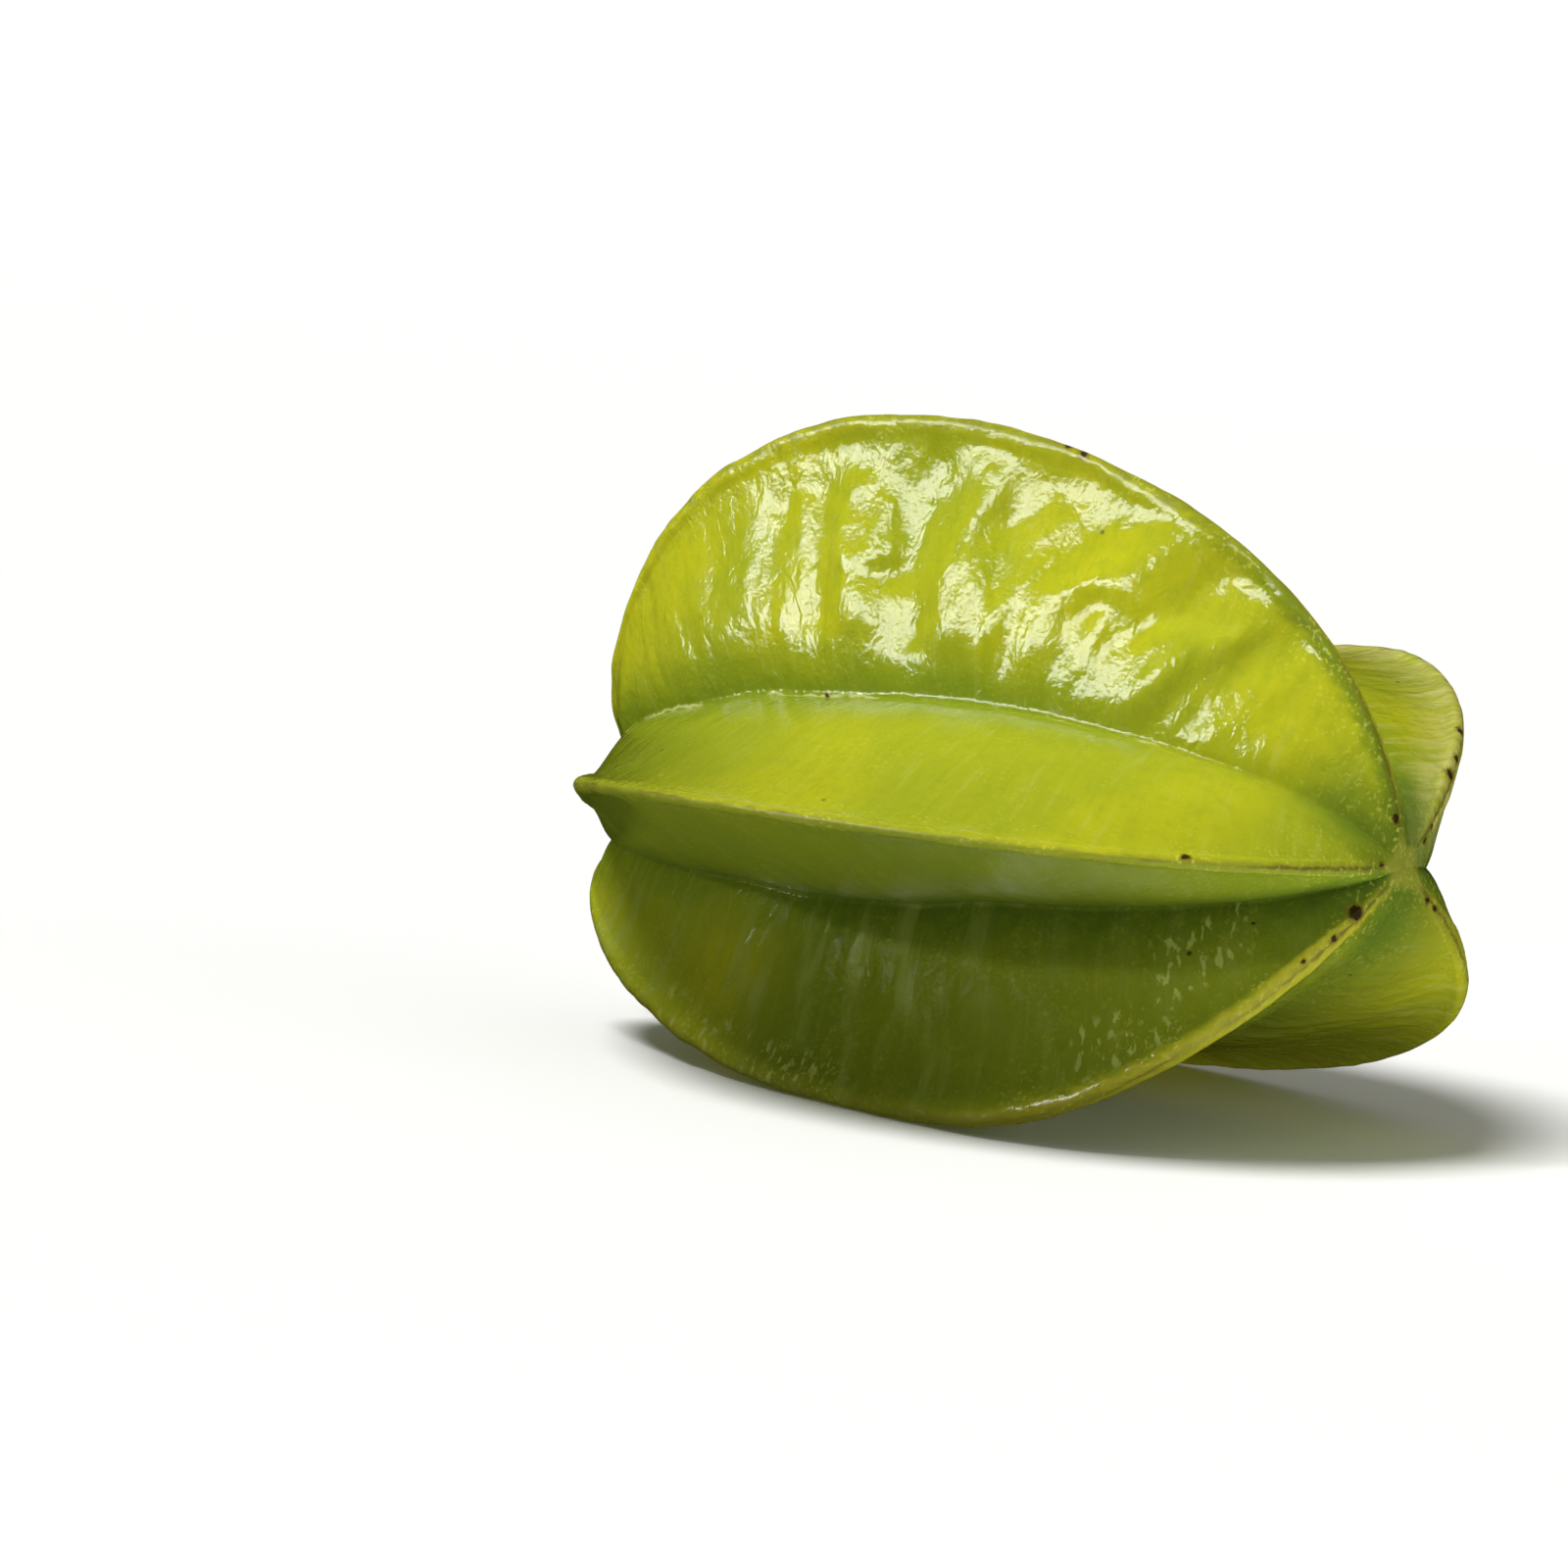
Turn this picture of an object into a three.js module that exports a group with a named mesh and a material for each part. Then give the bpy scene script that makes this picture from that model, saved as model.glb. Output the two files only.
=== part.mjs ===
// A whole star fruit (carambola), picked, lying on two of its five ribs.
// Millimetres, +Z up. The fruit's own axis runs along X: the stem end is at -X, the blossom tip at +X.
import * as THREE from "three";

// ---- driving dimensions, mm and degrees --------------------------------------------------------

const HALF_LENGTH = 50; // from the middle of the fruit to the blossom tip, along its axis

// The five ribs, in order round the axis, each going down one side of the fruit from the top.
// reach: how far the crest stands from the axis where the rib is fullest
// angle: which way the rib points at mid-length, 0 towards the front (-Y), 90 straight up
// twist: how far it has turned round the axis, each way, by the two ends
// fullest: where along the rib the crest stands furthest out, 0 at the stem and 1 at the tip
// stemTaper, tipTaper: under 1 makes that end of the crest blunter, over 1 makes it leaner
const RIBS = [
  { reach: 42.7, angle: 76, twist: 5.3, fullest: 0.47, stemTaper: 0.99, tipTaper: 0.9 },
  { reach: 43.7, angle: 6.4, twist: -5.5, fullest: 0.54, stemTaper: 1.5, tipTaper: 0.88 },
  { reach: 38.1, angle: -42, twist: 3.6, fullest: 0.62, stemTaper: 0.96, tipTaper: 1.21 },
  { reach: 42.7, angle: -143.8, twist: 0.4, fullest: 0.49, stemTaper: 0.96, tipTaper: 0.76 },
  { reach: 44.3, angle: -201.6, twist: -15.3, fullest: 0.54, stemTaper: 1.1, tipTaper: 1.15 },
];

// The five valleys. Each runs between a rib and the next one: depth is its distance from the axis,
// and lean turns it away from the middle of the two ribs.
const VALLEYS = [
  { depth: 20.1, lean: 1.2, twist: -2.8, stemTaper: 0.84, tipTaper: 1.01 },
  { depth: 18.6, lean: 0.5, twist: 0.6, stemTaper: 0.85, tipTaper: 0.99 },
  { depth: 18.9, lean: 1, twist: 1.1, stemTaper: 0.86, tipTaper: 0.98 },
  { depth: 19.8, lean: 2.2, twist: 1.6, stemTaper: 0.85, tipTaper: 0.88 },
  { depth: 19, lean: -0.3, twist: 0, stemTaper: 0.86, tipTaper: 0.94 },
];
const VALLEY_SHARE = 0.8; // a valley never stands further out than this share of its lower neighbour

// The rib's section: puffy flanks that draw in to a narrow rounded crest.
const CREST_HALF_WIDTH = 1.1;
const CREST_HEIGHT = 2;
const CREST_SHARE = 0.09; // near the ends, where a rib is low, the crest shrinks to this share of it
const FLANK_SWELL = 14; // how far the flank leans out of the straight line where it leaves the valley
const SWELL_LENGTH = 0.38; // shares of the flank's width over which it swells and draws in
const NECK_LENGTH = 0.28;
const NECK_LEAN = 0.5; // how far the flank turns towards the crest's own direction as it reaches it

// Where the ribs round over into the stem end they are broader and puffier.
const STEM_SHOULDER = 0.7; // how much broader the crest gets, as a share of its width
const STEM_SWELL = 12; // how much more the flank swells
const SHOULDER_SPAN = 0.18; // how far along the fruit that lasts, 1 being all of it

// The hollow that the stem grows from, and the stub of stem left in it.
const PIT_DEPTH = 7;
const PIT_RADIUS = 8;
const STEM_DIAMETER = 3;
const STEM_LENGTH = 7;
const STEM_GAP = 0.6; // from the bottom of the pit, so that its rim clears the pit by about 0.3

// How the fruit tips from its level axis to lie still on its two lower ribs.
const REST_ROLL = 1.1;
const REST_PITCH = 3.7;

const ROWS = 42; // rings of the mesh along the fruit
const FLANK_STEPS = 6;
const CREST_STEPS = 3;

// ---- the section --------------------------------------------------------------------------------

const radians = THREE.MathUtils.degToRad;

// How full a crest or valley is at a station along the fruit: 0 at both ends, 1 where it is fullest.
function fullness(along, { fullest = 0.5, stemTaper, tipTaper }) {
  const quarter = Math.PI / 2;
  return along < fullest
    ? Math.sin((quarter * along) / fullest) ** stemTaper
    : Math.sin((quarter * (1 - along)) / (1 - fullest)) ** tipTaper;
}

// 1 at the stem end, dying away to 0 over a span along the fruit.
function nearStem(along, span) {
  return Math.exp(-((along / span) ** 2));
}

// A direction in the plane across the fruit's axis, x towards the front and y up.
function direction(degrees) {
  return new THREE.Vector2(Math.cos(radians(degrees)), Math.sin(radians(degrees)));
}

function ribAt(index, along) {
  const rib = RIBS[index];
  return {
    reach: rib.reach * fullness(along, rib),
    out: direction(rib.angle + rib.twist * (2 * along - 1)),
  };
}

function valleyAt(index, along) {
  const valley = VALLEYS[index];
  const before = RIBS[index];
  const after = RIBS[(index + 1) % RIBS.length];
  const turn = after.angle > before.angle ? 360 : 0; // the last valley closes the circle
  const middle = (before.angle + after.angle - turn) / 2 + valley.lean;
  const twist = (before.twist + after.twist) / 2 + valley.twist;
  const lower = Math.min(ribAt(index, along).reach, ribAt((index + 1) % RIBS.length, along).reach);
  const depth = Math.min(valley.depth * fullness(along, valley), VALLEY_SHARE * lower);
  return direction(middle + twist * (2 * along - 1)).multiplyScalar(depth);
}

// Half a rib: from the bottom of a valley up the flank and round to the top of the crest.
// side is +1 for the flank that faces the next rib round and -1 for the other one.
function halfRib(rib, valley, side, along) {
  const { reach, out } = rib;
  const across = new THREE.Vector2(out.y, -out.x).multiplyScalar(side);
  const broader = 1 + STEM_SHOULDER * nearStem(along, SHOULDER_SPAN);
  const halfWidth = broader * Math.min(CREST_HALF_WIDTH, CREST_SHARE * reach);
  const height = Math.sqrt(broader) * Math.min(CREST_HEIGHT, CREST_SHARE * reach);
  const crestFoot = out.clone().multiplyScalar(reach - height);
  const shoulder = crestFoot.clone().addScaledVector(across, halfWidth);

  const chord = shoulder.clone().sub(valley);
  const width = chord.length();
  const outward = side * radians(FLANK_SWELL + STEM_SWELL * nearStem(along, SHOULDER_SPAN));
  const leave = chord.clone().normalize().rotateAround(new THREE.Vector2(), -outward);
  const lean = NECK_LEAN * (1 - nearStem(along, 1.4 * SHOULDER_SPAN));
  const arrive = out.clone().multiplyScalar(lean).addScaledVector(chord.clone().normalize(), 1 - lean);
  const flank = new THREE.CubicBezierCurve(
    valley,
    valley.clone().addScaledVector(leave, width * SWELL_LENGTH),
    shoulder.clone().addScaledVector(arrive, -width * NECK_LENGTH),
    shoulder,
  ).getPoints(FLANK_STEPS);

  const crest = [];
  for (let step = 1; step <= CREST_STEPS; step++) {
    const turn = (Math.PI / 2) * (step / CREST_STEPS);
    crest.push(
      crestFoot
        .clone()
        .addScaledVector(out, height * Math.sin(turn))
        .addScaledVector(across, halfWidth * Math.cos(turn)),
    );
  }
  return [...flank, ...crest];
}

// The whole five-pointed section at one station, as a ring of points that starts on a crest.
function starSection(along) {
  const ring = [];
  for (let i = 0; i < RIBS.length; i++) {
    const valley = valleyAt(i, along);
    const down = halfRib(ribAt(i, along), valley, 1, along).reverse();
    const up = halfRib(ribAt((i + 1) % RIBS.length, along), valley, -1, along);
    ring.push(...down.slice(0, -1), ...up.slice(0, -1));
  }
  return ring;
}

// ---- the fruit ----------------------------------------------------------------------------------

// Where a point of the section lies in space, with the stem pit pressed into the -X end.
function skinPoint(along, point) {
  const level = -Math.cos(Math.PI * along); // -1 at the stem end, 1 at the tip
  const stemEnd = Math.max(0, -level) ** 2;
  const pit = PIT_DEPTH * stemEnd * Math.exp(-((point.length() / PIT_RADIUS) ** 2));
  return new THREE.Vector3(HALF_LENGTH * level + pit, -point.x, point.y);
}

function fruitGeometry() {
  const points = [skinPoint(0, new THREE.Vector2())];
  for (let row = 1; row < ROWS; row++) {
    const along = row / ROWS;
    points.push(...starSection(along).map((point) => skinPoint(along, point)));
  }
  points.push(skinPoint(1, new THREE.Vector2()));

  const around = (points.length - 2) / (ROWS - 1);
  const tip = points.length - 1;
  const at = (row, column) => 1 + (row - 1) * around + (column % around);
  const faces = [];
  for (let column = 0; column < around; column++) {
    faces.push(0, at(1, column + 1), at(1, column));
    for (let row = 1; row < ROWS - 1; row++) {
      faces.push(at(row, column), at(row, column + 1), at(row + 1, column));
      faces.push(at(row, column + 1), at(row + 1, column + 1), at(row + 1, column));
    }
    faces.push(tip, at(ROWS - 1, column), at(ROWS - 1, column + 1));
  }
  const geometry = new THREE.BufferGeometry().setFromPoints(points);
  geometry.setIndex(faces);
  geometry.computeVertexNormals();
  return geometry;
}

const fruit = new THREE.Mesh(
  fruitGeometry(),
  new THREE.MeshStandardMaterial({ color: "#9aa11d", roughness: 0.3, metalness: 0 }),
);
fruit.name = "fruit";

// The dry stub of the stem, a little wider where it was snapped off.
const stem = new THREE.Mesh(
  new THREE.CylinderGeometry(STEM_DIAMETER * 0.55, STEM_DIAMETER / 2, STEM_LENGTH, 20),
  new THREE.MeshStandardMaterial({ color: "#5d5230", roughness: 0.8, metalness: 0 }),
);
stem.name = "stem";
stem.rotation.z = Math.PI / 2;
stem.position.x = -HALF_LENGTH + PIT_DEPTH - STEM_GAP - STEM_LENGTH / 2;

// ---- at rest ------------------------------------------------------------------------------------

// Tipped onto its two lower ribs, centred over the origin, with its lowest point on the ground.
const lying = new THREE.Group();
lying.add(fruit, stem);
lying.rotation.set(radians(REST_ROLL), -radians(REST_PITCH), 0, "YXZ");

const part = new THREE.Group();
part.add(lying);
const box = new THREE.Box3().setFromObject(part, true);
const middle = box.getCenter(new THREE.Vector3());
lying.position.set(-middle.x, -middle.y, -box.min.z);

export default part;
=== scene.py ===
# %% [markdown]
# # A star fruit, lying on two of its ribs
#
# A star fruit (carambola) is a waxy, ribbed fruit about as long as a hand is wide. Cut across, it is a
# five-pointed star: each point is the section of a rib that runs from the stem to the blossom tip.
#
# This notebook grows the skin from that idea. One star section is worked out at many stations along the
# fruit, the rings are joined into one skin, and small growth wrinkles are pressed into it. The colour, the
# wax and the marks are then painted on with noise and with distances measured along the skin.

# %% Open the frame
import math

import bpy
import numpy as np
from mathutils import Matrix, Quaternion, Vector


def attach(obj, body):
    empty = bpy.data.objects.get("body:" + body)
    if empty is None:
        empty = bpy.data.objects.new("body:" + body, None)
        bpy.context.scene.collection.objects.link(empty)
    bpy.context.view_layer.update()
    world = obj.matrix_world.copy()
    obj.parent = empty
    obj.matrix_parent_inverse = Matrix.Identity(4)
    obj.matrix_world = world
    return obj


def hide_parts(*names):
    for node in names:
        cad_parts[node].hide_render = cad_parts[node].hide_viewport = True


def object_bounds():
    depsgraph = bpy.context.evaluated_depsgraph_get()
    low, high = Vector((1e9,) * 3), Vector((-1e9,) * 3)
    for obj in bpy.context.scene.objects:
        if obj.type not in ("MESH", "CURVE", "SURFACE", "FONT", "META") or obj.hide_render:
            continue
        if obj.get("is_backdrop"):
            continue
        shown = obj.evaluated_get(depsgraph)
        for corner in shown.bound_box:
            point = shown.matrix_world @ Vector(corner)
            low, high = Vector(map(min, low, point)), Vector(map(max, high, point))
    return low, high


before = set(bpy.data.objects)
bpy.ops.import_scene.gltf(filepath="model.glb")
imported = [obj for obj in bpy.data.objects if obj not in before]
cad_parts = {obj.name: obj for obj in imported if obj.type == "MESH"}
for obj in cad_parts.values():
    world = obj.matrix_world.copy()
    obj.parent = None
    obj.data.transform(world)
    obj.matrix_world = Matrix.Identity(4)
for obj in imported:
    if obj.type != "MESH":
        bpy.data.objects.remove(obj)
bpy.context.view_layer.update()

# %% [markdown]
# ## Sizes of the fruit
#
# Everything is measured in millimetres from the middle of the fruit, with its axis along X: the stem end
# is at -X and the blossom tip at +X. A rib is told by how far its crest reaches from the axis, which way
# it points (0 is towards the front, 90 is straight up), how far it twists by the two ends, where it is
# fullest, and how blunt or lean its two ends are. No two ribs of a real fruit are alike, so each has its
# own line here.

# %% Ribs and valleys
MM = 0.001
HALF_LENGTH = 50.0

RIBS = [
    dict(reach=42.7, angle=76.0, twist=5.3, fullest=0.47, stem_taper=0.99, tip_taper=0.90),
    dict(reach=43.7, angle=6.4, twist=-5.5, fullest=0.54, stem_taper=1.5, tip_taper=0.88),
    dict(reach=38.1, angle=-42.0, twist=3.6, fullest=0.62, stem_taper=0.96, tip_taper=1.21),
    dict(reach=42.7, angle=-143.8, twist=0.4, fullest=0.49, stem_taper=0.96, tip_taper=0.76),
    dict(reach=44.3, angle=-201.6, twist=-15.3, fullest=0.54, stem_taper=1.10, tip_taper=1.15),
]
VALLEYS = [
    dict(depth=20.1, lean=1.2, twist=-2.8, stem_taper=0.84, tip_taper=1.01),
    dict(depth=18.6, lean=0.5, twist=0.6, stem_taper=0.85, tip_taper=0.99),
    dict(depth=18.9, lean=1.0, twist=1.1, stem_taper=0.86, tip_taper=0.98),
    dict(depth=19.8, lean=2.2, twist=1.6, stem_taper=0.85, tip_taper=0.88),
    dict(depth=19.0, lean=-0.3, twist=0.0, stem_taper=0.86, tip_taper=0.94),
]
VALLEY_SHARE = 0.8

CREST_HALF_WIDTH = [0.8, 0.75, 1.3, 1.2, 1.2]  # one for each rib
CREST_HEIGHT = 2.0
CREST_SHARE = 0.09
STEM_SHOULDER = [1.2, 3.5, 1.2, 1.2, 1.2]  # how much broader each crest gets by the stem
SHOULDER_SPAN = 0.18
STEM_SWELL = math.radians(18)  # the flanks bulge more there too
FLANK_SWELL = np.radians([18, 14, 14, 6, 16, 16, 16, 14, 16, 16])  # one for each flank, going round
SWELL_LENGTH = 0.38
NECK_LENGTH = 0.28
NECK_LEAN = [0.4, 0.15, 0.5, 0.5, 0.5]  # how far each rib's flanks turn outwards at the neck

PIT_DEPTH = 7.0
PIT_RADIUS = 8.0
print(len(RIBS), "ribs and", len(VALLEYS), "valleys")

# %% [markdown]
# ## A little unevenness, always the same
#
# Grown things waver. The waver comes from a grid of random numbers, read between its points with an eased
# blend. The cells can be long one way and short the other, which is how the wrinkles on a flank lie: short
# along the fruit and long from the valley to the crest. The seed is fixed, so the fruit is always the same.

# %% Smooth noise
NOISE_TABLE = (97, 89)  # random numbers each way


def waver(along, across, cell_along, cell_across, seed):
    """Smooth noise between -1 and 1 at points given in mm, with cells of that many mm each way."""
    table = np.random.default_rng(seed).uniform(-1, 1, NOISE_TABLE)
    u, v = np.broadcast_arrays(along / cell_along, across / cell_across)
    i, j = np.floor(u).astype(int), np.floor(v).astype(int)
    a, b = u - i, v - j
    a, b = a * a * (3 - 2 * a), b * b * (3 - 2 * b)

    def corner(di, dj):
        return table[(i + di) % NOISE_TABLE[0], (j + dj) % NOISE_TABLE[1]]

    near = corner(0, 0) * (1 - a) + corner(1, 0) * a
    far = corner(0, 1) * (1 - a) + corner(1, 1) * a
    return near * (1 - b) + far * b


sample = waver(np.linspace(0, 100, 500), 0.0, 6, 15, 1)
print("noise from", round(sample.min(), 2), "to", round(sample.max(), 2))

# %% [markdown]
# ## The star section
#
# A flank leaves the valley a little swollen, draws in to a narrow neck, and ends in a rounded crest. A
# cubic curve with two handles gives the flank, and a quarter of an ellipse gives the crest. All stations
# are worked out at once, so each value below is a column of numbers, one for each station from stem to
# tip. A valley's bottom also wanders half a millimetre from side to side, as the real crease does.

# %% Stations, crests and valleys
STATIONS = 232
FLANK_STEPS = 36
CREST_STEPS = 7
CREST_LENGTH = 120  # mm, roughly
CREST_WAVER = 0.22  # mm in and out
VALLEY_WANDER = 1.6  # degrees to either side
along = np.linspace(0, 1, STATIONS + 2)[1:-1]


def fullness(shape, fullest):
    """How full a crest or a valley is at each station: 0 at both ends, and 1 where it is fullest."""
    rising = np.sin(np.pi / 2 * np.minimum(along / fullest, 1)) ** shape["stem_taper"]
    falling = np.sin(np.pi / 2 * np.minimum((1 - along) / (1 - fullest), 1)) ** shape["tip_taper"]
    return np.where(along < fullest, rising, falling)


def direction(degrees):
    """A direction across the fruit's axis: 0 is towards the front and 90 straight up."""
    turn = np.radians(degrees)
    return np.stack([np.cos(turn), np.sin(turn)], -1)


def rib_line(k):
    """How far a crest reaches at each station, and which way its rib points there."""
    rib = RIBS[k]
    reach = rib["reach"] * fullness(rib, rib["fullest"])
    reach = reach + CREST_WAVER * waver(along * CREST_LENGTH, 0.0, 11, 1, 40 + k) * np.sin(np.pi * along)
    return reach, direction(rib["angle"] + rib["twist"] * (2 * along - 1))


def valley_line(k):
    """Where the bottom of a valley is at each station."""
    valley, before, after = VALLEYS[k], RIBS[k], RIBS[(k + 1) % 5]
    full_turn = 360 if after["angle"] > before["angle"] else 0
    middle = (before["angle"] + after["angle"] - full_turn) / 2 + valley["lean"]
    twist = (before["twist"] + after["twist"]) / 2 + valley["twist"]
    lower = np.minimum(rib_line(k)[0], rib_line((k + 1) % 5)[0])
    depth = np.minimum(valley["depth"] * fullness(valley, 0.5), VALLEY_SHARE * lower)
    wander = VALLEY_WANDER * waver(along * CREST_LENGTH, 0.0, 9, 1, 60 + k) * np.sin(np.pi * along)
    return direction(middle + twist * (2 * along - 1) + wander) * depth[:, None]


print("crest of the top rib reaches", round(rib_line(0)[0].max(), 1), "mm")

# %% [markdown]
# ### Half a rib
#
# Each half of a rib is drawn on its own, because its two flanks lean and swell differently. By the stem
# the crest is broader and the flanks are puffier, where the rib rounds over into its shoulder.

# %% Half a rib, from the bottom of a valley up to the top of a crest


def half_rib(rib_number, valley, side, swell_by):
    """Points from a valley up to a crest. Side is 1 or -1, for the two flanks."""
    reach, out = rib_line(rib_number)
    across = np.stack([out[:, 1], -out[:, 0]], -1) * side
    broad = 1 + STEM_SHOULDER[rib_number] * np.exp(-((along / SHOULDER_SPAN) ** 2))
    half_width = (broad * np.minimum(CREST_HALF_WIDTH[rib_number], CREST_SHARE * reach))[:, None]
    height = (broad**0.5 * np.minimum(CREST_HEIGHT, CREST_SHARE * reach))[:, None]
    foot = out * (reach[:, None] - height)
    shoulder = foot + across * half_width

    chord = shoulder - valley
    width = np.linalg.norm(chord, axis=1)[:, None]
    swell = -side * (swell_by + STEM_SWELL * np.exp(-((along / SHOULDER_SPAN) ** 2)))
    leave = np.stack(
        [
            chord[:, 0] * np.cos(swell) - chord[:, 1] * np.sin(swell),
            chord[:, 0] * np.sin(swell) + chord[:, 1] * np.cos(swell),
        ],
        -1,
    )
    handle_a = valley + leave * SWELL_LENGTH
    lean = (NECK_LEAN[rib_number] * (1 - np.exp(-((along / (1.4 * SHOULDER_SPAN)) ** 2))))[:, None]
    arrive = out * lean + chord / width * (1 - lean)
    handle_b = shoulder - arrive * width * NECK_LENGTH
    points = []
    for s in np.linspace(0, 1, FLANK_STEPS + 1):
        a, b, c, d = (1 - s) ** 3, 3 * (1 - s) ** 2 * s, 3 * (1 - s) * s**2, s**3
        points.append(a * valley + b * handle_a + c * handle_b + d * shoulder)
    for turn in np.linspace(0, np.pi / 2, CREST_STEPS + 1)[1:]:
        points.append(foot + out * height * np.sin(turn) + across * half_width * np.cos(turn))
    return np.stack(points, 1)


print("half a rib:", FLANK_STEPS + CREST_STEPS + 1, "points")

# %% [markdown]
# ### A whole ring
#
# Ten halves make a ring. How far each point lies from its valley and from its crest is kept, because the
# wrinkles and the paint both follow it.

# %% The whole ring, and how far each point lies from its valley and its crest
columns, from_valley, from_crest, flank_of_face = [], [], [], []
for k in range(5):
    valley = valley_line(k)
    for side, rib_number in ((1, k), (-1, (k + 1) % 5)):
        path = half_rib(rib_number, valley, side, FLANK_SWELL[2 * k + (side == -1)])
        steps = np.linalg.norm(np.diff(path, axis=1), axis=2)
        walked = np.concatenate([np.zeros((STATIONS, 1)), np.cumsum(steps, axis=1)], axis=1)
        left = walked[:, -1:] - walked
        if side == 1:
            path, walked, left = path[:, ::-1], -walked[:, ::-1], left[:, ::-1]
        columns.append(path[:, :-1])
        from_valley.append(walked)
        from_crest.append(left)
        flank_of_face += [2 * k + (side == -1)] * (path.shape[1] - 1)

section = np.concatenate(columns, axis=1)
AROUND = section.shape[1]
print(STATIONS, "rings of", AROUND, "points")

# %% [markdown]
# ## From sections to skin
#
# The sections are strung along the axis, close together at the two blunt ends. At the stem end the middle
# is pressed in, which leaves the pit that the stem grew from.

# %% The smooth skin
level = -np.cos(np.pi * along)
from_axis = np.linalg.norm(section, axis=2)
pit = PIT_DEPTH * np.maximum(0, -level)[:, None] ** 2 * np.exp(-((from_axis / PIT_RADIUS) ** 2))
smooth_skin = np.stack(
    [HALF_LENGTH * level[:, None] + pit, -section[..., 0], section[..., 1]], -1
)
poles = np.array([[-HALF_LENGTH + PIT_DEPTH, 0, 0], [HALF_LENGTH, 0, 0]])


def walk(line):
    """How far along a line of points each one lies, as a share of the whole."""
    steps = np.linalg.norm(np.diff(line, axis=0), axis=1)
    walked = np.concatenate([[0], np.cumsum(steps)])
    return walked / walked[-1]


LINE_LENGTH = 118.0  # mm from end to end along the skin, about the same for crest and valley
column_walk = np.stack([walk(smooth_skin[:, c]) for c in range(AROUND)], 1) * LINE_LENGTH
print("smooth skin, mm:", np.round(np.ptp(smooth_skin.reshape(-1, 3), axis=0), 1))

# %% [markdown]
# ## Growth wrinkles
#
# The skin over the flesh is not flat: shallow folds run from the valley to the crest, a few millimetres
# apart, and they are what breaks a lamp's reflection into bright strokes. They are made by moving the skin
# along its own normal by a few tenths of a millimetre. Each flank has its own strength, and the folds die
# away at the crease and at the crest.
#
# The boldest folds are on the face that looks up at the lamp, and they are placed one by one. Each is a
# step in the skin, with a slope on one side only, so it turns one strip of skin away from the lamp.

# %% The bold folds of the top rib
# where it crosses a line 10 mm up the flank, lowest and highest point up the flank, width, all in mm,
# then the steepest slope (it rises towards the blossom tip if above 0) and the lean towards the tip
BOLD_FOLDS = [
    (44.4, 9.0, 20.0, 2.2, 0.36, 0.02),
    (49.7, 7.0, 22.0, 3.4, 0.42, 0.02),
    (54.0, 13.0, 20.0, 1.6, 0.36, 0.02),
    (58.7, 11.0, 22.0, 2.0, 0.38, 0.05),
    (61.8, 5.0, 25.0, 3.8, 0.46, 0.10),
    (65.3, 6.0, 12.5, 1.6, 0.36, 0.20),
    (65.0, 16.0, 21.5, 1.1, 0.30, 0.35),
    (69.0, 16.5, 20.0, 2.2, 0.40, 0.25),
    (71.0, 4.0, 10.5, 2.0, -0.42, 0.25),
    (72.2, 13.0, 17.0, 1.2, -0.30, 0.35),
    (77.0, 4.5, 13.0, 3.0, -0.48, 0.35),
    (82.3, 3.5, 12.0, 2.6, -0.44, 0.45),
    (84.0, 12.5, 25.0, 5.5, -0.50, 0.50),
    (88.2, 7.0, 11.0, 1.2, -0.30, 0.55),
    (93.0, 3.0, 22.0, 3.6, -0.46, 0.55),
]
CROSS_FOLD = dict(height=13.0, start=49.0, end=59.5, width=1.2, slope=0.26)


def fade_in(value, edge, over=0.55):
    """0 well below the edge and 1 well above it, in mm."""
    return 1 / (1 + np.exp(-(value - edge) / over))


def bold_relief(lengthwise, up):
    """Height of the bold folds, in mm, at points so far along and so far up the flank."""
    wavy = lengthwise + 0.6 * waver(lengthwise, up, 3, 3, 5)
    relief = np.zeros_like(up)
    for at, lowest_up, highest_up, width, slope, lean in BOLD_FOLDS:
        off = (wavy - at - lean * (up - 10)) / width
        step = slope * width * off * np.exp(-(off**2))
        relief += step * fade_in(up, lowest_up) * fade_in(-up, -highest_up)
    fold = CROSS_FOLD
    off = (up - fold["height"] - 0.08 * (lengthwise - 50)) / fold["width"]
    within = np.clip((lengthwise - fold["start"]) / (fold["end"] - fold["start"]), 0, 1)
    return relief + fold["slope"] * fold["width"] * off * np.exp(-(off**2)) * np.sin(np.pi * within) ** 0.5


print(len(BOLD_FOLDS), "bold folds")

# %% [markdown]
# ### Pressing them in
#
# All the other folds come from the smooth noise: folds of two sizes on top of one slow swell. In the half
# near the blossom tip they lean over towards it. The crests are made uneven too, by a tenth of a
# millimetre or so.

# %% Press the wrinkles in
FOLD_DEPTH = [0.25, 0.08, 0.08, 0.2, 0.12, 0.14, 0.16, 0.16, 0.14, 0.16]  # mm, one for each flank
FOLD_CELLS = (2.3, 6.5)  # mm along the fruit, and up the flank
FINER_FOLDS = 0.4  # folds of half that size, as a share of the depth
SLOW_SWELL = 0.8  # a swell with cells of SWELL_CELL, as a share of the depth
SWELL_CELL = 11

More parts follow.
